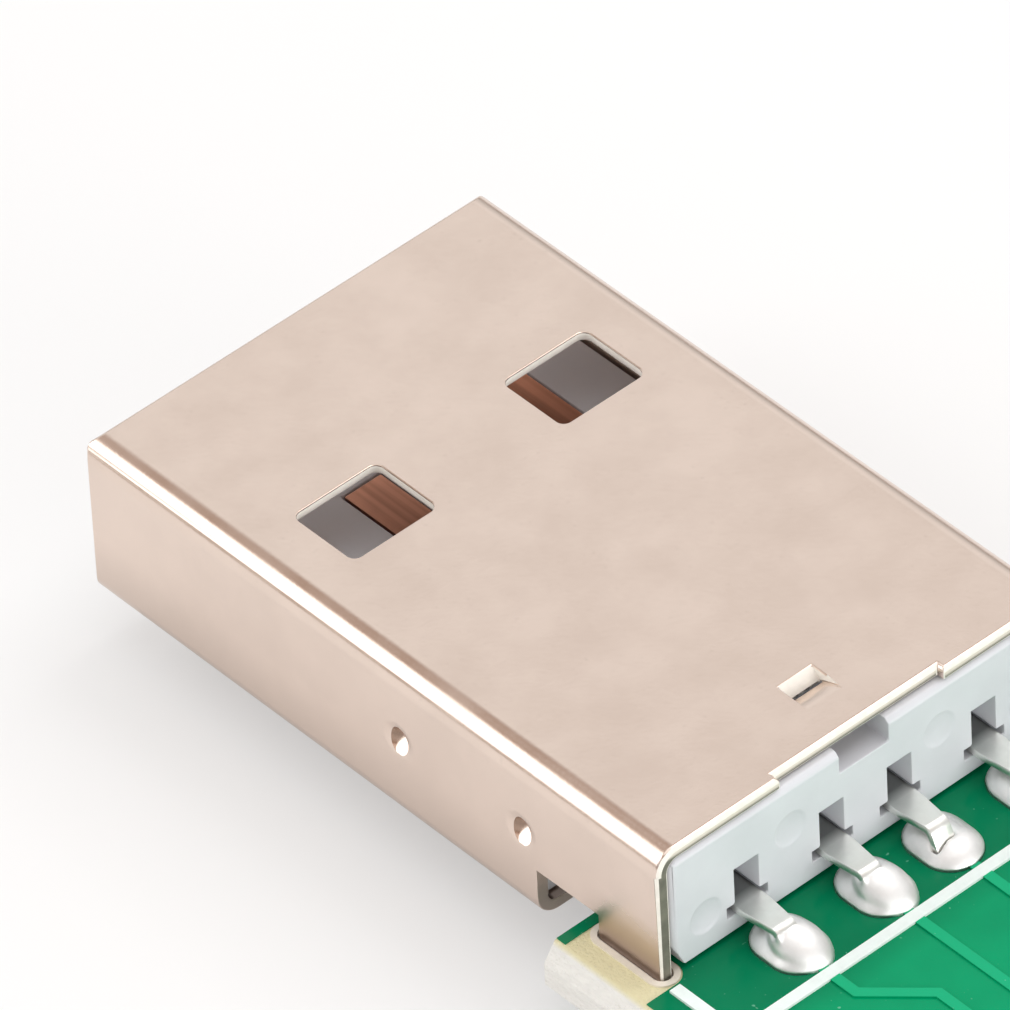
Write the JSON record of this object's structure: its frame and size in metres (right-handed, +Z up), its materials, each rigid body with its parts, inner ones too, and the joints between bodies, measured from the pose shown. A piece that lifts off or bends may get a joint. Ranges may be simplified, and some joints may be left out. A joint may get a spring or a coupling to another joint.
{
  "type": "usb breakout board",
  "caption": "Type A USB plug with a folded metal shell, soldered through a small green circuit board whose traces run to a row of plated header holes.",
  "frame": {"origin": "under the middle of the object, at the height of the lowest pin tips", "axes": "+Y along the plug towards its mouth, +Z up from the board's component face, +X across the board"},
  "size_m": [0.0142, 0.034, 0.0059],
  "materials": {
    "shell_plate": "satin nickel plate on folded steel sheet",
    "insulator": "pale grey moulded plastic",
    "contact": "copper alloy, tinned at the tails",
    "laminate": "glass fibre laminate with a rough scored edge",
    "solder_mask": "glossy green coating",
    "print": "white ink",
    "copper": "plated copper",
    "solder": "bright tin solder"
  },
  "bodies": {
    "root": {"plug_shell": "shell_plate", "plug_insulator": "insulator", "contact_supply": "contact", "contact_data_minus": "contact", "contact_data_plus": "contact", "contact_ground": "contact", "header_hole_supply": "copper", "header_hole_data_minus": "copper", "header_hole_data_plus": "copper", "header_hole_ground": "copper", "pin_hole_supply": "copper", "pin_hole_data_minus": "copper", "pin_hole_data_plus": "copper", "pin_hole_ground": "copper", "tab_slot_left": "copper", "tab_slot_right": "copper", "printed_board": "laminate", "top_solder_mask": "solder_mask", "bottom_solder_mask": "solder_mask", "silkscreen_outline": "print", "trace_supply": "copper", "trace_data_minus": "copper", "trace_data_plus": "copper", "trace_ground": "copper", "pin_solder_supply": "solder", "pin_solder_data_minus": "solder", "pin_solder_data_plus": "solder", "pin_solder_ground": "solder", "tab_solder_left": "solder", "tab_solder_right": "solder"}
  },
  "joints": []
}
